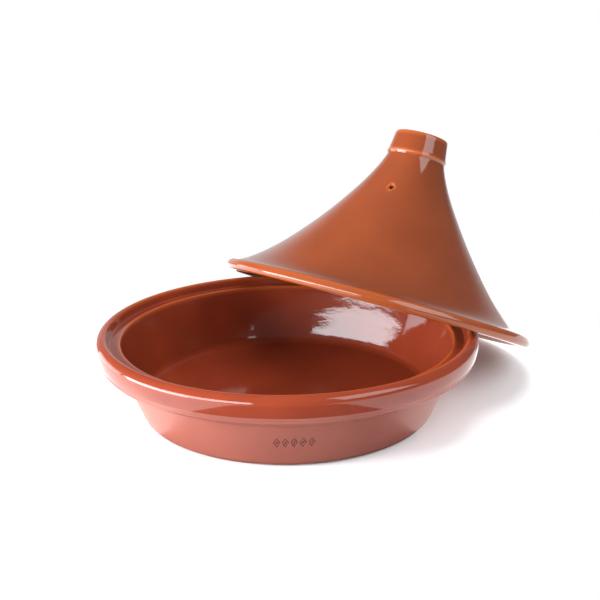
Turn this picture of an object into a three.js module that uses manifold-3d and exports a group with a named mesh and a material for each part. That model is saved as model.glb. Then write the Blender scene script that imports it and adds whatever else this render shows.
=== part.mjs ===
// A cooking tagine: a shallow round dish of red earthenware, and a tall flared lid with a collar for a knob.
// Units are millimetres and +Z is up. The origin is the centre of the dish's flat foot, on the table.
// The pot stands open: the lid's edge is on the table on the +X side, and the lid leans over the dish's rim.
import * as THREE from "three";
import { mergeVertices } from "three/addons/utils/BufferGeometryUtils.js";
import Module from "manifold-3d";

const wasm = await Module();
wasm.setup();

const turnSteps = 64; // flats round each turned body
const arcStep = 30; // the most degrees of arc in one step of a rounded corner
const glazeColour = 0x9a4526;

// The dish, from the foot up. Radii are measured from its axis, and heights from the table.
const footCornerRadius = 121.8; // where the wall would meet the table with no rounding
const footRounding = 9;
const wallLean = 22; // degrees that the outer wall leans out from upright
const neckHeight = 41.5; // the wall steps out here, just under the rim's roll
const neckStep = 0.8;
const rollUndersideRadius = 151.5;
const rollUndersideHeight = 47.4;
const rollUndersideFall = 0.5; // the underside falls this much towards the wall
const rollUndersideRounding = 1.5;
const rollRadius = 160; // the widest line of the roll, half the dish's overall width
const rollHeight = 67.4; // the height of that line
const rollSteps = 6;
const crestRadius = 153.3;
const crestHeight = 71.8;
const crestSteps = 5;
const crestEdgeWidth = 1.2; // the crest is rounded off this far towards the ledge
const crestEdgeFall = 0.7;
const ledgeOuterRadius = 148.8; // the ledge inside the rim that the lid sits on when the pot is closed
const ledgeHeight = 65;
const ledgeFall = 0.6; // the ledge falls this much towards its outer edge
const ledgeRounding = 2;
const lipRadius = 139.8; // the top of the inner wall
const floorCornerRadius = 121;
const floorHeight = 14.5;
const floorRounding = 8;

// The lid, about its own axis. Heights are measured from its flat underside.
const lidRadius = 143.8;
const lidEdgeHeight = 9.3;
const lidEdgeRounding = 2;
const lidEdgeTopRounding = 2.5;
const lidEdgeWaist = 4.3; // the height at which the edge is widest
const lidEdgeTopInset = 1.2;
const lidEdgeBottomInset = 0.8;
const flareInset = 4.3; // the cone's flare starts this far inside the lid's edge
const flareStartPull = [-30, 4]; // from the flare's start to the point that its curve leaves towards
const flareEndPull = [10.5, -36.5]; // from the flare's end to the point that its curve arrives from
const flareSteps = 12;
const grooveRadius = 26.7; // where the cone meets the collar
const grooveHeight = 142;
const collarBulge = 1.1; // the collar's foot stands out this far over the groove
const collarFootHeight = 2.6;
const collarTopRadius = 24.3;
const collarTopHeight = 164.4;
const collarRounding = 2.4;
const cupRadius = 17.5; // the open hollow in the top of the collar
const cupRounding = 1.6;
const cupFloorRadius = 14.5;
const cupFloorHeight = 149;
const cupFloorRounding = 4;
const wallThickness = 7.5;
const hollowStart = 0.13; // the hollow follows this stretch of the flare, as shares of its curve
const hollowEnd = 0.93;
const hollowSteps = 10;
const hollowRoofHeight = 135;
const hollowRoofRadius = 16.5;
const hollowRoofRounding = 6;
const seatInnerRadius = 134; // the flat ring under the lid's edge runs in to here
const seatSlope = 2.5; // from that ring the underside slopes in this far
const seatDepth = 4.5; // and up this far, to the hollow
const seatRounding = 1;
const ventRadius = 2; // the steam vent, square to the lid's axis
const ventHeight = 107.5;
const ventReach = 38; // from the lid's axis to the middle of the drill's stroke
const ventLength = 30;
const ventSides = 12;
const ventTurn = 196; // degrees round the lid's axis, from the side that touches the table

// How the lid leans.
const leanAngle = 23.8; // degrees from upright, towards +X
const leanShift = 120.2; // from the dish's axis to the centre of the lid's underside
const tableGap = 0.2; // between the lid's lowest point and the table

const radians = THREE.MathUtils.degToRad;

// The arc that rounds off one corner, from the side towards before to the side towards after.
function roundedCorner(corner, before, after, rounding) {
  const towardsBefore = before.clone().sub(corner).normalize();
  const towardsAfter = after.clone().sub(corner).normalize();
  const halfAngle = Math.acos(towardsBefore.dot(towardsAfter)) / 2;
  const bisector = towardsBefore.clone().add(towardsAfter).normalize();
  const centre = corner.clone().addScaledVector(bisector, rounding / Math.sin(halfAngle));
  const firstTouch = corner.clone().addScaledVector(towardsBefore, rounding / Math.tan(halfAngle));
  const sweep = (Math.PI - 2 * halfAngle) * -Math.sign(towardsBefore.cross(towardsAfter));
  const steps = Math.max(2, Math.ceil(Math.abs(sweep) / radians(arcStep)));
  return Array.from({ length: steps + 1 }, (_, step) =>
    firstTouch.clone().rotateAround(centre, (sweep * step) / steps),
  );
}

// A profile from its corners, each one [radius, height] or [radius, height, rounding].
function profileOf(corners) {
  const points = corners.map(([radius, height]) => new THREE.Vector2(radius, height));
  return corners.flatMap(([, , rounding], index) =>
    rounding
      ? roundedCorner(points[index], points[index - 1], points[index + 1], rounding)
      : [points[index]],
  );
}

// Corners along a quarter of an ellipse, from one angle in degrees to another, after the first one.
function quarterCorners(centreRadius, centreHeight, halfWidth, halfHeight, from, to, steps) {
  return Array.from({ length: steps }, (_, step) => {
    const angle = radians(THREE.MathUtils.lerp(from, to, (step + 1) / steps));
    return [centreRadius + halfWidth * Math.cos(angle), centreHeight + halfHeight * Math.sin(angle)];
  });
}

// A closed body turned about Z from corners that start and end on the axis.
function turned(corners) {
  return new THREE.LatheGeometry(profileOf(corners), turnSteps).rotateX(Math.PI / 2);
}

function solidOf(geometry) {
  const bare = geometry.clone();
  bare.deleteAttribute("normal");
  bare.deleteAttribute("uv");
  const merged = mergeVertices(bare);
  return new wasm.Manifold(
    new wasm.Mesh({
      numProp: 3,
      vertProperties: merged.attributes.position.array,
      triVerts: new Uint32Array(merged.index.array),
    }),
  );
}

function geometryOf(solid) {
  const mesh = solid.getMesh();
  const geometry = new THREE.BufferGeometry();
  geometry.setAttribute("position", new THREE.BufferAttribute(mesh.vertProperties, 3));
  geometry.setIndex(new THREE.BufferAttribute(mesh.triVerts, 1));
  geometry.computeVertexNormals();
  return geometry;
}

// The dish: flat foot, leaning wall, a heavy roll round the rim, and a stepped ledge inside it for the lid.
function dishGeometry() {
  const wallRadiusAt = (height) => footCornerRadius + height * Math.tan(radians(wallLean));
  const lowerRoll = quarterCorners(
    rollUndersideRadius, rollHeight, rollRadius - rollUndersideRadius, rollHeight - rollUndersideHeight,
    -90, 0, rollSteps,
  );
  const upperRoll = quarterCorners(
    crestRadius, rollHeight, rollRadius - crestRadius, crestHeight - rollHeight,
    0, 90, crestSteps,
  );
  return turned([
    [0, 0],
    [footCornerRadius, 0, footRounding],
    [wallRadiusAt(neckHeight), neckHeight],
    [wallRadiusAt(neckHeight) + neckStep, neckHeight + neckStep],
    [
      wallRadiusAt(rollUndersideHeight) + neckStep,
      rollUndersideHeight - rollUndersideFall,
      rollUndersideRounding,
    ],
    [rollUndersideRadius, rollUndersideHeight],
    ...lowerRoll,
    ...upperRoll,
    [crestRadius - crestEdgeWidth, crestHeight - crestEdgeFall],
    [ledgeOuterRadius, ledgeHeight - ledgeFall, ledgeRounding],
    [lipRadius, ledgeHeight, ledgeRounding],
    [floorCornerRadius, floorHeight, floorRounding],
    [0, floorHeight],
  ]);
}

// The cone's outside, from the lid's edge up to the groove under the collar.
function flareCurve() {
  const start = new THREE.Vector2(lidRadius - flareInset, lidEdgeHeight);
  const end = new THREE.Vector2(grooveRadius, grooveHeight);
  return new THREE.CubicBezierCurve(
    start,
    start.clone().add(new THREE.Vector2(...flareStartPull)),
    end.clone().add(new THREE.Vector2(...flareEndPull)),
    end,
  );
}

// The cone's inside, from under the collar down to the lid's edge, one wall thickness inside the flare.
function hollowCorners(flare) {
  return Array.from({ length: hollowSteps + 1 }, (_, step) => {
    const along = THREE.MathUtils.lerp(hollowEnd, hollowStart, step / hollowSteps);
    const tangent = flare.getTangent(along);
    const inside = new THREE.Vector2(-tangent.y, tangent.x).multiplyScalar(wallThickness);
    return flare.getPoint(along).add(inside).toArray();
  });
}

// The lid: a concave cone that flares to a rounded edge, hollow inside, with a cupped collar and a steam vent.
function lidGeometry() {
  const flare = flareCurve();
  const body = turned([
    [0, hollowRoofHeight],
    [hollowRoofRadius, hollowRoofHeight, hollowRoofRounding],
    ...hollowCorners(flare),
    [seatInnerRadius - seatSlope, seatDepth, seatRounding],
    [seatInnerRadius, 0, seatRounding],
    [lidRadius - lidEdgeBottomInset, 0, lidEdgeRounding],
    [lidRadius, lidEdgeWaist],
    [lidRadius - lidEdgeTopInset, lidEdgeHeight, lidEdgeTopRounding],
    ...flare.getPoints(flareSteps).map((point) => point.toArray()),
    [grooveRadius + collarBulge, grooveHeight + collarFootHeight],
    [collarTopRadius, collarTopHeight, collarRounding],
    [cupRadius, collarTopHeight, cupRounding],
    [cupFloorRadius, cupFloorHeight, cupFloorRounding],
    [0, cupFloorHeight],
  ]);
  const drill = new THREE.CylinderGeometry(ventRadius, ventRadius, ventLength, ventSides)
    .rotateZ(Math.PI / 2)
    .translate(ventReach, 0, ventHeight)
    .rotateZ(radians(ventTurn));
  return geometryOf(solidOf(body).subtract(solidOf(drill)));
}

const glazedClay = new THREE.MeshStandardMaterial({ color: glazeColour, roughness: 0.25, metalness: 0 });

function piece(name, geometry) {
  const mesh = new THREE.Mesh(geometry, glazedClay);
  mesh.name = name;
  return mesh;
}

// The lid leans towards +X about the Y axis, with its lowest edge just clear of the table.
function leaningLid() {
  const lean = radians(leanAngle);
  const edgeFall = (lidRadius - lidEdgeRounding) * Math.sin(lean) - lidEdgeRounding * (Math.cos(lean) - 1);
  const group = new THREE.Group();
  group.rotation.y = lean;
  group.position.set(leanShift, 0, edgeFall + tableGap);
  group.add(piece("lid", lidGeometry()));
  return group;
}

const tagine = new THREE.Group();
tagine.add(piece("dish", dishGeometry()), leaningLid());

export default tagine;
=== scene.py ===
import math

import bpy
import numpy as np
from mathutils import Matrix, Vector


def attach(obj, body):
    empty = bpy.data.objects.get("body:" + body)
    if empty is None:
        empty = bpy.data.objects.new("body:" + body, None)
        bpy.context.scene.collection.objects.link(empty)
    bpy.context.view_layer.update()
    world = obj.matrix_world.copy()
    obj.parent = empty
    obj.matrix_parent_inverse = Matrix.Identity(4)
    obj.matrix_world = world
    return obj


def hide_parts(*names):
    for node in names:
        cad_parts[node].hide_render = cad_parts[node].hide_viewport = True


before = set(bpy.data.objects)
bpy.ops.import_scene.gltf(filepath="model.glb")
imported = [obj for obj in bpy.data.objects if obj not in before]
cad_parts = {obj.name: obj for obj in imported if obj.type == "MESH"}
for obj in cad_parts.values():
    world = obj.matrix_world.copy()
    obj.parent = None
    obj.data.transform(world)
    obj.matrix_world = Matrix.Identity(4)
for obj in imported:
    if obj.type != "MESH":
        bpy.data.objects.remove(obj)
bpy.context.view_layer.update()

MM = 0.001

# The camera. The heading is counted anticlockwise from +Y.
CAMERA_HEADING = -47.75
CAMERA_ELEVATION = 17.47
CAMERA_ROLL = 0.61
CAMERA_DISTANCE = 960 * MM
CAMERA_TARGET_HEIGHT = 42.67 * MM
CAMERA_SLIDE = (10.90 * MM, 49.47 * MM)  # to the camera's right, and up
CAMERA_LENS = 67.69  # millimetres
CAMERA_SENSOR = 36  # millimetres

# The meshes' fineness.
ARC_STEP = 9  # degrees in one step of a rounded corner
ROW_STEP = 3.0  # the longest step along a profile, in millimetres
TURN_STEPS = 240
VENT_STEPS = 48
LOWER_ROLL_STEPS = 48
CREST_STEPS = 16
FLARE_STEPS = 80
HOLLOW_STEPS = 60

# The dish.
FOOT_RADIUS = 121.8
WALL_LEAN = math.radians(22)
NECK_STEP = 0.8  # the wall steps out this far under the roll
ROLL_UNDERSIDE = (151.5, 47.4)
ROLL_WIDEST = (160, 65.2)
GLAZE_LINE = 55.4  # the roll is bare below this height
ROLL_LINES = ((52.6, 0.22), (50.6, -0.3), (49.4, 0.22))  # heights and depths of fine lines turned into it
ROLL_LINE_WIDTH = 0.5
CREST = (153.3, 71.8)
CREST_INNER_EDGE = (151.7, 71.2)
LEDGE_OUTER = (148.8, 64.4)
LIP = (139.8, 65)
FLOOR_CORNER = 121
FLOOR_HEIGHT = 14.5

# The stamped row of lozenges on the dish's wall.
STAMP_TURN = -135.2  # degrees round the dish
STAMP_HEIGHT = 24.5
STAMP_LENGTH = 33
STAMP_LOZENGES = 5
STAMP_HALF_HEIGHT = 5.2
STAMP_DEPTH = 0.8
STAMP_STEP = 0.4
STAMP_MARGIN = 1.5  # the fine columns run on this far past the stamp
LOZENGE_WIDTH = 0.44  # half a lozenge's width, as a share of the distance to the next
LOZENGE_OUTLINE = (0.82, 0.2)  # where its grooved outline lies, and how wide it is, as shares of its size
LOZENGE_MIDDLE = (0.34, 0.16)  # how far its sunk middle reaches, and the width of the slope round it

# The lid, in its own frame: +Z up its axis, and its underside at height 0.
LID_RADIUS = 143.8
LID_EDGE_HEIGHT = 9.3
FLARE = ((139.5, 9.3), (109.5, 13.3), (37.2, 105.5), (26.7, 142))
WALL_THICKNESS = 7.5
HOLLOW_SHARES = (0.93, 0.13)  # the hollow follows this stretch of the flare, as shares of its curve
GROOVE = (26.7, 142)
COLLAR_TOP = (24.3, 164.4)
CUP_RADIUS = 17.5
CUP_FLOOR = (14.5, 149)
HOLLOW_ROOF = (16.5, 135)
VENT_TURN = 196
VENT_HEIGHT = 107.5
VENT_RADIUS = 2.0
VENT_SLOPE = math.radians(16)  # the vent's mouth looks up this much
LEAN = math.radians(23.8)
LEAN_SHIFT = 120.2  # from the dish's axis to the middle of the lid's underside
TABLE_GAP = 0.2  # lifts the lid's lowest edge off the table

# The surface's bend, per metre, where the glaze starts to thin, and the further bend that thins it fully.
EDGE_BEND = 90
EDGE_BEND_RANGE = 500

# Colours, as linear red, green and blue. A glaze's are deep, usual and thin.
DISH_GLAZE = ((0.145, 0.020, 0.008), (0.185, 0.026, 0.009), (0.28, 0.05, 0.012))
LID_GLAZE = ((0.135, 0.027, 0.008), (0.162, 0.033, 0.009), (0.29, 0.062, 0.014))
CLAY = ((0.20, 0.053, 0.037), (0.24, 0.067, 0.046))
CLAY_SPECK = (0.15, 0.045, 0.03)
# Painted shade: this darker clay colour is mixed into the stamp's grooves.
PAINTED_STAMP_SHADE = (0.09, 0.022, 0.015)
ROOM = (0.95, 0.97, 1)
TABLE_PAINT = (0.88, 0.88, 0.88)
WHITE = (1, 1, 1)

# The studio, in metres and degrees.
POT_MIDDLE = 0.06  # the height that the panels' elevations are measured from
ROOM_LIGHT = 0.75  # what the dim room sheds on everything
ROOM_MIRRORED = 0.11  # and how bright the glaze mirrors it
BACK_MIRRORED = 0.6  # how much brighter it mirrors the low part of the room behind the pot
GLOW_HEIGHT = 0.0005  # the lit patches lie this far above the table
PANEL_COLOUR = (0.86, 0.95, 1)
TABLE_REACH = 6
TABLE_SIDES = 96
TABLE_FADE = (0.21, 0.36)  # the table fades into the backdrop between these distances from the dish's axis
BEHIND = (0.7, 0.97)  # how directly behind the pot the room starts to brighten, and is brightest
LOW_DOWN = (0.75, 0.0)  # the same for how low down: the upward part of a direction

# Azimuths are counted clockwise from straight behind the pot.
# Upright panels: name, azimuths, elevations, distance, radiance, tilt.
PANELS = (
    ("left_panel", (-162, -81), (-3, 20), 1.6, 7.2, 9),
    ("left_strip", (-126, -79), (-2, 8), 1.6, 6, 0),
    ("left_back_panel", (-76, -45), (-8, 12), 1.6, 2.6, 0),
    ("right_window", (103, 150), (24, 60), 1.2, 2.5, 0),
)

# Lit patches of the table: name, azimuth, nearest and farthest reach, width, radiance.
TABLE_GLOWS = (
    ("left_glow", -85, 0.1, 1.0, 1.1, 1.8),
    ("right_glow", 85, 0.1, 0.9, 1.2, 1.1),
)

# Soft lights from above: name, azimuth, elevation, size, strength.
HIGH_LIGHTS = (
    ("key_light", -60, 78, 45, 2.7),
    ("side_light", -105, 14, 30, 6.8),
    ("fill_light", 145, 35, 40, 0.9),
)


def rounded_corner(corner, before, after, rounding):
    """The arc that rounds off one corner, from the side towards before to the side towards after."""
    towards_before = (before - corner) / np.linalg.norm(before - corner)
    towards_after = (after - corner) / np.linalg.norm(after - corner)
    half_angle = math.acos(float(np.clip(towards_before @ towards_after, -1, 1))) / 2
    bisector = towards_before + towards_after
    centre = corner + bisector / np.linalg.norm(bisector) * rounding / math.sin(half_angle)
    first = corner + towards_before * rounding / math.tan(half_angle) - centre
    cross = towards_before[0] * towards_after[1] - towards_before[1] * towards_after[0]
    sweep = -math.copysign(math.pi - 2 * half_angle, cross)
    steps = max(3, math.ceil(abs(math.degrees(sweep)) / ARC_STEP))
    turns = np.linspace(0, sweep, steps + 1)
    x, y = first
    return [centre + [x * math.cos(t) - y * math.sin(t), x * math.sin(t) + y * math.cos(t)] for t in turns]


def profile_of(corners):
    """A profile's points from its corners, each one (radius, height) or (radius, height, rounding)."""
    points = [np.array(corner[:2], dtype=float) for corner in corners]
    profile = []
    for index, corner in enumerate(corners):
        if len(corner) == 3:
            profile += rounded_corner(points[index], points[index - 1], points[index + 1], corner[2])
        else:
            profile.append(points[index])
    return profile


def ellipse_arc(centre, half_width, half_height, first, last, steps):
    """Corners along part of an ellipse, between two angles in degrees, after the first one."""
    turns = np.radians(np.linspace(first, last, steps + 1)[1:])
    return [(centre[0] + half_width * math.cos(t), centre[1] + half_height * math.sin(t)) for t in turns]


def refined(profile):
    """The profile with its long steps cut into short ones."""
    rows = [profile[0]]
    for point in profile[1:]:
        length = np.linalg.norm(point - rows[-1])
        parts = max(1, math.ceil(length / ROW_STEP))
        rows += [rows[-1] + (point - rows[-1]) * part / parts for part in range(1, parts)] + [point]
    return rows


def wall_radius(height):
    """The radius of the dish's outer wall at a height."""
    return FOOT_RADIUS + height * math.tan(WALL_LEAN)


def dish_bare_profile():
    """The unglazed part: the foot, the leaning wall and the neck under the roll."""
    return profile_of([
        (0, 0.6),
        (100, 0.6, 1),
        (102, 0, 1),
        (FOOT_RADIUS, 0, 9),
        (wall_radius(39.9), 39.9, 0.8),
        (wall_radius(40.6) + NECK_STEP, 40.7, 0.5),
        (wall_radius(43.1) + NECK_STEP, 43.1, 0.25),
        (wall_radius(43.5) + NECK_STEP - 0.45, 43.5, 0.2),
        (wall_radius(44.0) + NECK_STEP, 44.0, 0.25),
        (wall_radius(47.1) + NECK_STEP, 47.1, 1.5),
        (ROLL_UNDERSIDE[0], ROLL_UNDERSIDE[1]),
    ])


def dish_glazed_profile():
    """The glazed part: the roll round the rim, the ledge inside it, the inner wall and the floor."""
    roll = ellipse_arc(
        (ROLL_UNDERSIDE[0], ROLL_WIDEST[1]),
        ROLL_WIDEST[0] - ROLL_UNDERSIDE[0],
        ROLL_WIDEST[1] - ROLL_UNDERSIDE[1],
        -90, 0, LOWER_ROLL_STEPS,
    )
    crest = ellipse_arc(
        (CREST[0], ROLL_WIDEST[1]),
        ROLL_WIDEST[0] - CREST[0],
        CREST[1] - ROLL_WIDEST[1],
        0, 90, CREST_STEPS,
    )
    return [np.array(point) for point in [ROLL_UNDERSIDE] + roll + crest] + profile_of([
        CREST,
        (*CREST_INNER_EDGE, 0.8),
        (*LEDGE_OUTER, 1.8),
        (*LIP, 1.3),
        (FLOOR_CORNER, FLOOR_HEIGHT, 8),
        (0, FLOOR_HEIGHT),
    ])[1:]


def turned_mesh(name, profile, turns, material_rows, shape=None):
    """A closed mesh turned about Z. turns are the angles of its columns, and shape moves its points."""
    rows = np.array(profile)
    inner = rows[1:-1]
    cos, sin = np.cos(turns)[None, :], np.sin(turns)[None, :]
    radius = np.repeat(inner[:, :1], len(turns), axis=1)
    height = np.repeat(inner[:, 1:], len(turns), axis=1)
    if shape:
        radius, height = shape(radius, height, turns[None, :])
    grid = np.stack([radius * cos, radius * sin, height], axis=-1).reshape(-1, 3)
    poles = np.array([[0, 0, rows[0, 1]], [0, 0, rows[-1, 1]]])
    points = np.vstack([grid, poles]) * MM
    count, columns = len(inner), len(turns)
    here = np.arange(columns)
    after = (here + 1) % columns
    faces, marks = [], []
    first_pole, last_pole = count * columns, count * columns + 1
    for a, b in zip(here, after):
        faces.append((first_pole, int(b), int(a)))
        marks.append(material_rows[0])
    for row in range(count - 1):
        low, high = row * columns, (row + 1) * columns
        for a, b in zip(here, after):
            faces.append((low + int(a), low + int(b), high + int(b), high + int(a)))
            marks.append(material_rows[row + 1])
    top = (count - 1) * columns
    for a, b in zip(here, after):
        faces.append((top + int(a), top + int(b), last_pole))
        marks.append(material_rows[-1])
    mesh = bpy.data.meshes.new(name)
    mesh.from_pydata(points.tolist(), [], faces)
    mesh.polygons.foreach_set("material_index", marks)
    mesh.polygons.foreach_set("use_smooth", [True] * len(faces))
    mesh.update()
    piece = bpy.data.objects.new(name, mesh)
    bpy.context.scene.collection.objects.link(piece)
    return piece


def dish_turns():
    """The dish's columns: even all round, and fine across the stamp."""
    stamp_radius = wall_radius(STAMP_HEIGHT)
    half = (STAMP_LENGTH / 2 + STAMP_MARGIN) / stamp_radius
    centre = math.radians(STAMP_TURN)
    fine = np.linspace(centre - half, centre + half, round(2 * half * stamp_radius / STAMP_STEP) + 1)
    coarse = np.linspace(centre + half, centre - half + 2 * math.pi, TURN_STEPS + 1)[1:-1]
    return np.concatenate([fine, coarse])


def stamp_place(height, turns):
    """How far along and up the wall a place is from the stamp's middle, in millimetres."""
    span = (turns - math.radians(STAMP_TURN) + math.pi) % (2 * math.pi) - math.pi
    return span * wall_radius(STAMP_HEIGHT), (height - STAMP_HEIGHT) / math.cos(WALL_LEAN)


def stamp_depth(along, up):
    """How deep the stamped lozenges are, at a place in millimetres from the stamp's middle."""
    pitch = STAMP_LENGTH / STAMP_LOZENGES
    place = (along + STAMP_LENGTH / 2) / pitch
    across = (place - np.floor(place) - 0.5) * pitch
    reach = np.abs(across) / (pitch * LOZENGE_WIDTH) + np.abs(up) / STAMP_HALF_HEIGHT
    outline = np.clip(1 - np.abs(reach - LOZENGE_OUTLINE[0]) / LOZENGE_OUTLINE[1], 0, 1)
    middle = np.clip((LOZENGE_MIDDLE[0] - reach) / LOZENGE_MIDDLE[1], 0, 1)
    inside = np.abs(along) < STAMP_LENGTH / 2
    return STAMP_DEPTH * inside * np.maximum(outline, middle)


def dish_shape(radius, height, turns):
    """Throwing marks, a slightly uneven turn, and the stamp on the wall."""
    inside = (height > FLOOR_HEIGHT - 1) & (radius < wall_radius(height) - 3) & (radius < LIP[0])
    on_floor = inside & (height < FLOOR_HEIGHT + 1) & (radius < FLOOR_CORNER - 8)
    rings = 0.09 * np.sin(radius * 0.9 + 0.6 * np.sin(radius * 0.21)) * np.clip(radius / 12, 0, 1)
    height = height + on_floor * rings
    on_wall = inside & ~on_floor & (height > FLOOR_HEIGHT + 6) & (height < LIP[1] - 3)
    fine_marks = 0.008 * np.sin(height * 0.85 + 0.4 * np.sin(2 * turns))
    radius = radius + on_wall * (fine_marks + 0.02 * np.sin(height * 0.37 + turns))
    uneven = 0.18 * np.sin(3 * turns + 0.4) + 0.12 * np.sin(5 * turns + height * 0.05)
    outer = np.clip((radius - 60) / 60, 0, 1)
    outside = ~inside & (height > 0.05)
    radius = radius + outer * uneven * np.clip(height / 30, 0, 1)
    along, up = stamp_place(height, turns)
    stamped = outside & (height < 38) & (height > 10)
    on_roll = outside & (radius > ROLL_UNDERSIDE[0]) & (height < GLAZE_LINE)
    for line_height, line_depth in ROLL_LINES:
        radius = radius - on_roll * line_depth * np.exp(-((height - line_height) / ROLL_LINE_WIDTH) ** 2)
    return radius - stamped * stamp_depth(along, up), height


def dish():
    bare = dish_bare_profile()
    glazed = dish_glazed_profile()
    stamp_low, stamp_high = STAMP_HEIGHT - STAMP_HALF_HEIGHT - 1, STAMP_HEIGHT + STAMP_HALF_HEIGHT + 1
    corner = [index for index, point in enumerate(bare) if point[1] < stamp_low][-1]
    stamp_rows = [np.array([wall_radius(h), h]) for h in np.arange(stamp_low, stamp_high, STAMP_STEP)]
    bare = refined(bare[: corner + 1] + stamp_rows + bare[corner + 1:])
    glazed = refined(glazed)
    rows = bare + glazed[1:]
    below_glaze = sum(1 for point in glazed[1:] if point[0] > LIP[0] and point[1] < GLAZE_LINE)
    materials = [0] * (len(bare) - 1 + below_glaze) + [1] * (len(glazed) - 1 - below_glaze)
    piece = turned_mesh("dish_shell", rows, dish_turns(), materials, dish_shape)
    keep_turned_place(piece)
    return piece


def bezier(control, shares):
    """Points and unit tangents on a cubic curve."""
    points = np.array(control, dtype=float)
    t = np.array(shares)[:, None]
    places = (
        (1 - t) ** 3 * points[0] + 3 * (1 - t) ** 2 * t * points[1]
        + 3 * (1 - t) * t ** 2 * points[2] + t ** 3 * points[3]
    )
    tangents = (
        3 * (1 - t) ** 2 * (points[1] - points[0]) + 6 * (1 - t) * t * (points[2] - points[1])
        + 3 * t ** 2 * (points[3] - points[2])
    )
    return places, tangents / np.linalg.norm(tangents, axis=1)[:, None]


def lid_profile():
    """The lid from the middle of its hollow's roof, down the inside, round the edge and up to the cup."""
    flare, _ = bezier(FLARE, np.linspace(0, 1, FLARE_STEPS))
    inner, tangents = bezier(FLARE, np.linspace(*HOLLOW_SHARES, HOLLOW_STEPS))
    inner = inner + np.stack([-tangents[:, 1], tangents[:, 0]], axis=1) * WALL_THICKNESS
    flare_steps = [tuple(point) for point in flare[2:-1]]
    return profile_of([
        (0, HOLLOW_ROOF[1]),
        (*HOLLOW_ROOF, 6),
        *[tuple(point) for point in inner],
        (131.5, 4.5, 1),
        (134, 0, 1),
        (LID_RADIUS - 1.6, 0, 2.2),
        (LID_RADIUS, 4.3, 3.5),
        (LID_RADIUS - 2.2, LID_EDGE_HEIGHT, 2.6),
        (FLARE[0][0] + 0.9, LID_EDGE_HEIGHT - 0.1, 0.4),
        (FLARE[0][0] - 0.2, LID_EDGE_HEIGHT - 0.75, 0.4),
        (FLARE[0][0] - 1.4, LID_EDGE_HEIGHT + 0.25, 0.6),
        *flare_steps,
        (GROOVE[0], GROOVE[1] + 0.1, 0.3),
        (GROOVE[0] + 1.1, 144.6, 1.4),
        (GROOVE[0] - 0.1, 147.6, 3),
        (*COLLAR_TOP, 2.2),
        (CUP_RADIUS, COLLAR_TOP[1], 1.6),
        (*CUP_FLOOR, 4),
        (0, CUP_FLOOR[1]),
    ])


def lid_shape(radius, height, turns):
    """Throwing marks inside and out, and a slightly uneven turn."""
    flare, _ = bezier(FLARE, np.linspace(0, 1, 200))
    outer_radius = np.interp(height, flare[:, 1], flare[:, 0])
    on_cone = (height > LID_EDGE_HEIGHT + 2) & (height < GROOVE[1] - 2) & (radius > outer_radius - 2)
    in_hollow = (height > 6) & (height < HOLLOW_ROOF[1] - 7) & (radius < outer_radius - 2)
    fine_marks = 0.01 * np.sin(height * 0.62 + 0.5 * np.sin(turns))
    cone_marks = fine_marks + 0.05 * np.sin(height * 0.17 + 2 * turns)
    hollow_marks = 0.25 * np.sin(height * 0.55 + turns) + 0.12 * np.sin(height * 1.3)
    radius = radius + on_cone * cone_marks + in_hollow * hollow_marks
    uneven = 0.16 * np.sin(3 * turns + 1.1) + 0.1 * np.sin(7 * turns + height * 0.03)
    return radius + uneven * np.clip(radius / 60, 0, 1), height


def lid_place():
    """The leaning lid's place: its lowest edge just clear of the table."""
    fall = (LID_RADIUS - 2) * math.sin(LEAN) - 2 * (math.cos(LEAN) - 1)
    shift = Matrix.Translation(Vector((LEAN_SHIFT, 0, fall + TABLE_GAP)) * MM)
    return shift @ Matrix.Rotation(LEAN, 4, "Y")


def vent_cutter():
    """A drill for the steam vent, with a flared mouth."""
    flare, _ = bezier(FLARE, np.linspace(0, 1, 400))
    surface = float(np.interp(VENT_HEIGHT, flare[:, 1], flare[:, 0]))
    profile = profile_of([
        (0, -16),
        (VENT_RADIUS, -16),
        (VENT_RADIUS, -1.2, 0.8),
        (VENT_RADIUS + 1.7, 0.9, 0.6),
        (VENT_RADIUS + 2.4, 6),
        (0, 6),
    ])
    turns = np.linspace(0, 2 * math.pi, VENT_STEPS + 1)[:-1]
    cutter = turned_mesh("vent_cutter", profile, turns, [0] * (len(profile) - 1))
    turn = Matrix.Rotation(math.radians(VENT_TURN), 4, "Z")
    cutter.matrix_world = (
        turn @ Matrix.Translation(Vector((surface, 0, VENT_HEIGHT)) * MM)
        @ Matrix.Rotation(math.pi / 2 - VENT_SLOPE, 4, "Y")
    )
    return cutter


def lid():
    rows = refined(lid_profile())
    turns = np.linspace(0, 2 * math.pi, TURN_STEPS + 1)[:-1]
    piece = turned_mesh("lid_shell", rows, turns, [0] * (len(rows) - 1), lid_shape)
    cutter = vent_cutter()
    cut = piece.modifiers.new("vent", "BOOLEAN")
    cut.operation = "DIFFERENCE"
    cut.solver = "EXACT"
    cut.object = cutter
    bpy.context.view_layer.update()
    graph = bpy.context.evaluated_depsgraph_get()
    drilled = bpy.data.meshes.new_from_object(piece.evaluated_get(graph), depsgraph=graph)
    piece.modifiers.remove(cut)
    piece.data = drilled
    bpy.data.objects.remove(cutter)
    keep_turned_place(piece)
    piece.data.transform(lid_place())
    return piece


def keep_turned_place(piece):
    """Writes each point's place about its own turning axis, for the materials to follow."""
    mesh = piece.data
    points = np.empty(len(mesh.vertices) * 3, dtype=np.float32)
    mesh.vertices.foreach_get("co", points)
    layer = mesh.attributes.new("turned_place", "FLOAT_VECTOR", "POINT")
    layer.data.foreach_set("vector", points)


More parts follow.
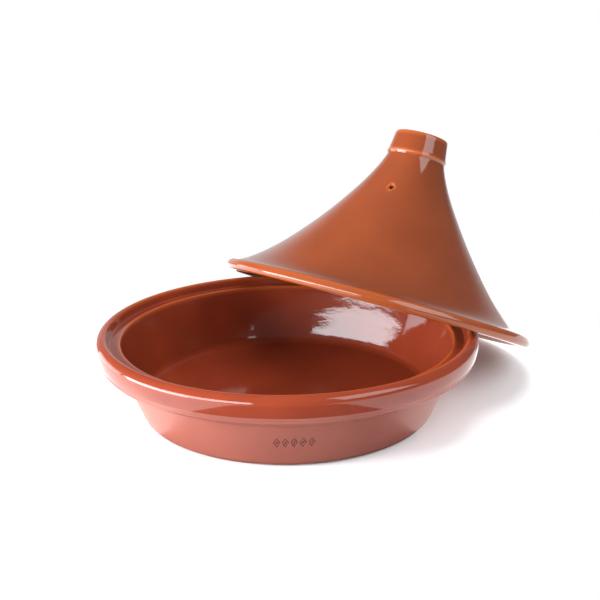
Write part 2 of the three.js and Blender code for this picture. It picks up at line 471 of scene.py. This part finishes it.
class Nodes:
    """A material's node tree, with short calls for the nodes used here."""

    def __init__(self, name):
        self.material = bpy.data.materials.new(name)
        self.material.use_nodes = True
        self.tree = self.material.node_tree
        self.shader = self.tree.nodes["Principled BSDF"]
        self.place = self.attribute("turned_place").node.outputs["Vector"]

    def link(self, source, target):
        self.tree.links.new(source, target)

    def stretched(self, scale):
        node = self.tree.nodes.new("ShaderNodeMapping")
        node.inputs["Scale"].default_value = scale
        self.link(self.place, node.inputs["Vector"])
        return node.outputs["Vector"]

    def noise(self, scale, detail, stretch=(1, 1, 1)):
        node = self.tree.nodes.new("ShaderNodeTexNoise")
        node.inputs["Scale"].default_value = scale
        node.inputs["Detail"].default_value = detail
        self.link(self.stretched(stretch), node.inputs["Vector"])
        return node.outputs["Fac"]

    def ramp(self, value, stops):
        node = self.tree.nodes.new("ShaderNodeValToRGB")
        for element, (place, colour) in zip(node.color_ramp.elements, stops):
            element.position = place
            element.color = (*colour, 1)
        self.link(value, node.inputs["Fac"])
        return node.outputs["Color"]

    def spread(self, value, low, high, most):
        """0 where the value is low, and most where it is high."""
        node = self.tree.nodes.new("ShaderNodeMapRange")
        for name, number in (("From Min", low), ("From Max", high), ("To Min", 0.0), ("To Max", most)):
            node.inputs[name].default_value = number
        self.link(value, node.inputs["Value"])
        return node.outputs["Result"]

    def mix(self, source, colour, share):
        """A source's colour, and a plain colour in the given share."""
        node = self.tree.nodes.new("ShaderNodeMix")
        node.data_type = "RGBA"
        self.link(share, node.inputs[0])
        self.link(source, node.inputs[6])
        node.inputs[7].default_value = (*colour, 1)
        return node.outputs[2]

    def bump(self, height, distance, normal=None):
        node = self.tree.nodes.new("ShaderNodeBump")
        node.inputs["Strength"].default_value = 1.0
        node.inputs["Distance"].default_value = distance
        self.link(height, node.inputs["Height"])
        if normal:
            self.link(normal, node.inputs["Normal"])
        return node.outputs["Normal"]

    def attribute(self, name):
        node = self.tree.nodes.new("ShaderNodeAttribute")
        node.attribute_name = name
        return node.outputs["Fac"]

    def set(self, **values):
        for name, value in values.items():
            self.shader.inputs[name.replace("_", " ")].default_value = value


def glaze(name, colours, coat_roughness):
    """A clear amber glaze over red clay: deeper in random clouds and specks, lighter where it runs thin
    off an edge.
    """
    deep, usual, thin = colours
    nodes = Nodes(name)
    cloud = nodes.ramp(nodes.noise(22, 4), [(0.3, deep), (0.7, usual)])
    speck = nodes.spread(nodes.noise(900, 2), 0.62, 0.74, 0.35)
    specked = nodes.mix(cloud, deep, speck)
    nodes.link(nodes.mix(specked, thin, nodes.attribute("edge")), nodes.shader.inputs["Base Color"])
    wavy = nodes.bump(nodes.noise(120, 2, (1, 1, 2)), 0.00004)
    fine = nodes.bump(nodes.noise(700, 2, (1, 1, 0.6)), 0.000022, wavy)
    nodes.link(fine, nodes.shader.inputs["Normal"])
    nodes.link(fine, nodes.shader.inputs["Coat Normal"])
    nodes.set(Roughness=0.45, Specular_IOR_Level=0.05)
    nodes.set(Coat_Weight=1.0, Coat_Roughness=coat_roughness, Coat_IOR=1.7)
    return nodes.material


def bare_clay():
    """The wiped and fired clay of the dish's outer wall: matt, finely ringed and a little sandy."""
    nodes = Nodes("bare_clay")
    cloud = nodes.ramp(nodes.noise(14, 5), [(0.3, CLAY[0]), (0.7, CLAY[1])])
    speck = nodes.spread(nodes.noise(1300, 2), 0.6, 0.75, 0.5)
    sandy = nodes.mix(cloud, CLAY_SPECK, speck)
    # Painted shade: the clay is darkened in the stamp's grooves, the more the deeper they are.
    stamped = nodes.mix(sandy, PAINTED_STAMP_SHADE, nodes.attribute("stamped"))
    nodes.link(stamped, nodes.shader.inputs["Base Color"])
    rings = nodes.bump(nodes.noise(40, 3, (0.3, 0.3, 16)), 0.00012)
    sand = nodes.bump(nodes.noise(1500, 3), 0.00006, rings)
    nodes.link(sand, nodes.shader.inputs["Normal"])
    nodes.set(Roughness=0.45)
    return nodes.material


def mark_edges(piece):
    """Writes how convex the surface is at each point, from 0 to 1, for the glaze that thins there."""
    mesh = piece.data
    points = np.empty(len(mesh.vertices) * 3)
    normals = np.empty(len(mesh.vertices) * 3)
    mesh.vertices.foreach_get("co", points)
    mesh.vertices.foreach_get("normal", normals)
    points, normals = points.reshape(-1, 3), normals.reshape(-1, 3)
    ends = np.empty(len(mesh.edges) * 2, dtype=np.int64)
    mesh.edges.foreach_get("vertices", ends)
    a, b = ends.reshape(-1, 2).T
    gap = points[b] - points[a]
    length2 = np.maximum((gap ** 2).sum(axis=1), 1e-12)
    bend = ((normals[b] - normals[a]) * gap).sum(axis=1) / length2
    total = np.zeros(len(points))
    np.maximum.at(total, a, bend)
    np.maximum.at(total, b, bend)
    values = np.clip((total - EDGE_BEND) / EDGE_BEND_RANGE, 0, 1)
    layer = mesh.attributes.new("edge", "FLOAT", "POINT")
    layer.data.foreach_set("value", values.astype(np.float32))


def mark_stamp(piece):
    """Writes how deep in the stamp each point is, from 0 to 1, for the painted shade that darkens the clay
    there.
    """
    mesh = piece.data
    points = np.empty(len(mesh.vertices) * 3)
    mesh.vertices.foreach_get("co", points)
    points = points.reshape(-1, 3) / MM
    radius, height = np.hypot(points[:, 0], points[:, 1]), points[:, 2]
    turns = np.arctan2(points[:, 1], points[:, 0])
    depth = stamp_depth(*stamp_place(height, turns)) * (radius > wall_radius(height) - 3)
    layer = mesh.attributes.new("stamped", "FLOAT", "POINT")
    layer.data.foreach_set("value", (depth / STAMP_DEPTH).astype(np.float32))


def camera():
    heading = math.radians(CAMERA_HEADING)
    elevation = math.radians(CAMERA_ELEVATION)
    roll = math.radians(CAMERA_ROLL)
    ahead = Vector((-math.sin(heading), math.cos(heading), 0))
    side = Vector((math.cos(heading), math.sin(heading), 0))
    forward = ahead * math.cos(elevation) - Vector((0, 0, math.sin(elevation)))
    up = ahead * math.sin(elevation) + Vector((0, 0, math.cos(elevation)))
    place = Vector((0, 0, CAMERA_TARGET_HEIGHT)) - forward * CAMERA_DISTANCE
    place += side * CAMERA_SLIDE[0] + up * CAMERA_SLIDE[1]
    right = side * math.cos(roll) - up * math.sin(roll)
    top = side * math.sin(roll) + up * math.cos(roll)
    turn = Matrix((right, top, -forward)).transposed().to_4x4()
    data = bpy.data.cameras.new("camera")
    data.lens = CAMERA_LENS
    data.sensor_width = CAMERA_SENSOR
    piece = bpy.data.objects.new("camera", data)
    piece.matrix_world = Matrix.Translation(place) @ turn
    bpy.context.scene.collection.objects.link(piece)
    bpy.context.scene.camera = piece


def panel(name, azimuths, elevations, distance, radiance, tilt):
    """An upright light that fills a range of azimuths and elevations, as seen from the pot.

    A panel may reach below the table. A tilt raises the end with the lower azimuth.
    """
    middle = sum(azimuths) / 2
    heading = math.radians(CAMERA_HEADING - middle)
    out = Vector((-math.sin(heading), math.cos(heading), 0))
    low, high = (POT_MIDDLE + distance * math.tan(math.radians(e)) for e in elevations)
    width = 2 * distance * math.tan(math.radians(azimuths[1] - azimuths[0]) / 2)
    data = bpy.data.lights.new(name, "AREA")
    data.shape = "RECTANGLE"
    data.size, data.size_y = width, high - low
    data.energy = radiance * math.pi * width * (high - low)
    data.color = PANEL_COLOUR
    piece = bpy.data.objects.new(name, data)
    turn = out.to_track_quat("Z", "Y").to_matrix().to_4x4()
    turn = turn @ Matrix.Rotation(math.radians(tilt), 4, "Z")
    piece.matrix_world = Matrix.Translation(out * distance + Vector((0, 0, (low + high) / 2))) @ turn
    piece.visible_camera = False
    bpy.context.scene.collection.objects.link(piece)


def back_brightness(tree):
    """How bright each direction of the room is in the glaze: softly brighter low down behind the pot."""
    direction = tree.nodes.new("ShaderNodeTexCoord").outputs["Generated"]
    heading = math.radians(CAMERA_HEADING)
    behind = tree.nodes.new("ShaderNodeVectorMath")
    behind.operation = "DOT_PRODUCT"
    behind.inputs[1].default_value = (-math.sin(heading), math.cos(heading), 0)
    tree.links.new(direction, behind.inputs[0])
    height = tree.nodes.new("ShaderNodeSeparateXYZ")
    tree.links.new(direction, height.inputs[0])
    shares = []
    for value, (low, high) in ((behind.outputs["Value"], BEHIND), (height.outputs["Z"], LOW_DOWN)):
        share = tree.nodes.new("ShaderNodeMapRange")
        share.interpolation_type = "SMOOTHSTEP"
        share.inputs["From Min"].default_value = low
        share.inputs["From Max"].default_value = high
        tree.links.new(value, share.inputs["Value"])
        shares.append(share.outputs["Result"])
    both = tree.nodes.new("ShaderNodeMath")
    both.operation = "MULTIPLY"
    tree.links.new(shares[0], both.inputs[0])
    tree.links.new(shares[1], both.inputs[1])
    total = tree.nodes.new("ShaderNodeMath")
    total.operation = "MULTIPLY_ADD"
    tree.links.new(both.outputs[0], total.inputs[0])
    total.inputs[1].default_value = BACK_MIRRORED
    total.inputs[2].default_value = ROOM_MIRRORED
    return total.outputs[0]


def backdrop():
    """The world: pale where the camera sees it, and a dim room round the panels for everything else."""
    world = bpy.data.worlds.new("studio")
    world.use_nodes = True
    tree = world.node_tree
    room = tree.nodes["Background"]
    room.inputs["Color"].default_value = (*ROOM, 1)
    room.inputs["Strength"].default_value = ROOM_LIGHT
    mirrored = tree.nodes.new("ShaderNodeBackground")
    mirrored.inputs["Color"].default_value = (*ROOM, 1)
    tree.links.new(back_brightness(tree), mirrored.inputs["Strength"])
    pale = tree.nodes.new("ShaderNodeBackground")
    pale.inputs["Color"].default_value = (*WHITE, 1)
    pale.inputs["Strength"].default_value = 1.0
    ray = tree.nodes.new("ShaderNodeLightPath")
    inner, outer = tree.nodes.new("ShaderNodeMixShader"), tree.nodes.new("ShaderNodeMixShader")
    tree.links.new(ray.outputs["Is Glossy Ray"], inner.inputs["Fac"])
    tree.links.new(room.outputs[0], inner.inputs[1])
    tree.links.new(mirrored.outputs[0], inner.inputs[2])
    tree.links.new(ray.outputs["Is Camera Ray"], outer.inputs["Fac"])
    tree.links.new(inner.outputs[0], outer.inputs[1])
    tree.links.new(pale.outputs[0], outer.inputs[2])
    tree.links.new(outer.outputs[0], tree.nodes["World Output"].inputs["Surface"])
    bpy.context.scene.world = world


def table_top():
    """A white table that brightens into the pale backdrop away from the pot."""
    material = bpy.data.materials.new("white_table")
    material.use_nodes = True
    tree = material.node_tree
    paint = tree.nodes["Principled BSDF"]
    paint.inputs["Base Color"].default_value = (*TABLE_PAINT, 1)
    paint.inputs["Roughness"].default_value = 0.9
    glow = tree.nodes.new("ShaderNodeEmission")
    glow.inputs["Color"].default_value = (*WHITE, 1)
    place = tree.nodes.new("ShaderNodeTexCoord")
    reach = tree.nodes.new("ShaderNodeVectorMath")
    reach.operation = "LENGTH"
    tree.links.new(place.outputs["Object"], reach.inputs[0])
    fade = tree.nodes.new("ShaderNodeMapRange")
    fade.interpolation_type = "SMOOTHSTEP"
    fade.inputs["From Min"].default_value = TABLE_FADE[0]
    fade.inputs["From Max"].default_value = TABLE_FADE[1]
    tree.links.new(reach.outputs["Value"], fade.inputs["Value"])
    mix = tree.nodes.new("ShaderNodeMixShader")
    tree.links.new(fade.outputs["Result"], mix.inputs["Fac"])
    tree.links.new(paint.outputs[0], mix.inputs[1])
    tree.links.new(glow.outputs[0], mix.inputs[2])
    tree.links.new(mix.outputs[0], tree.nodes["Material Output"].inputs["Surface"])
    turns = np.linspace(0, 2 * math.pi, TABLE_SIDES + 1)[:-1]
    corners = [(TABLE_REACH * math.cos(t), TABLE_REACH * math.sin(t), 0) for t in turns]
    mesh = bpy.data.meshes.new("table")
    mesh.from_pydata(corners, [], [range(TABLE_SIDES)])
    mesh.materials.append(material)
    table = bpy.data.objects.new("table", mesh)
    table.visible_glossy = False
    bpy.context.scene.collection.objects.link(table)


def high_light(name, azimuth, elevation, size, strength):
    """A soft light from above that shades the pot and the table but isn't mirrored in the glaze."""
    heading = math.radians(CAMERA_HEADING - azimuth)
    rise = math.radians(elevation)
    out = Vector((-math.sin(heading) * math.cos(rise), math.cos(heading) * math.cos(rise), math.sin(rise)))
    data = bpy.data.lights.new(name, "SUN")
    data.angle = math.radians(size)
    data.energy = strength
    piece = bpy.data.objects.new(name, data)
    piece.matrix_world = out.to_track_quat("Z", "Y").to_matrix().to_4x4()
    piece.visible_glossy = False
    bpy.context.scene.collection.objects.link(piece)


def table_glow(name, azimuth, near, far, width, radiance):
    """A brightly lit patch of the table, which lights the pot from below and shows in the glaze."""
    heading = math.radians(CAMERA_HEADING - azimuth)
    out = Vector((-math.sin(heading), math.cos(heading), 0))
    data = bpy.data.lights.new(name, "AREA")
    data.shape = "RECTANGLE"
    data.size, data.size_y = width, far - near
    data.energy = radiance * math.pi * width * (far - near)
    piece = bpy.data.objects.new(name, data)
    side = Vector((out.y, -out.x, 0))
    turn = Matrix((side, -out, Vector((0, 0, -1)))).transposed().to_4x4()
    piece.matrix_world = Matrix.Translation(out * (near + far) / 2 + Vector((0, 0, GLOW_HEIGHT))) @ turn
    piece.visible_camera = False
    bpy.context.scene.collection.objects.link(piece)


def studio():
    backdrop()
    table_top()
    for values in PANELS:
        panel(*values)
    for values in TABLE_GLOWS:
        table_glow(*values)
    for values in HIGH_LIGHTS:
        high_light(*values)


def finish_look():
    scene = bpy.context.scene
    scene.view_settings.view_transform = "Standard"
    scene.view_settings.look = "None"


camera()
studio()
finish_look()

dish_glaze = glaze("dish_glaze", DISH_GLAZE, 0.05)
lid_glaze = glaze("lid_glaze", LID_GLAZE, 0.06)
clay = bare_clay()

dish_piece = dish()
dish_piece.data.materials.append(clay)
dish_piece.data.materials.append(dish_glaze)
mark_edges(dish_piece)
mark_stamp(dish_piece)
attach(dish_piece, "dish")
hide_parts("dish")

lid_piece = lid()
lid_piece.data.materials.clear()
lid_piece.data.materials.append(lid_glaze)
mark_edges(lid_piece)
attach(lid_piece, "lid")
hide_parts("lid")
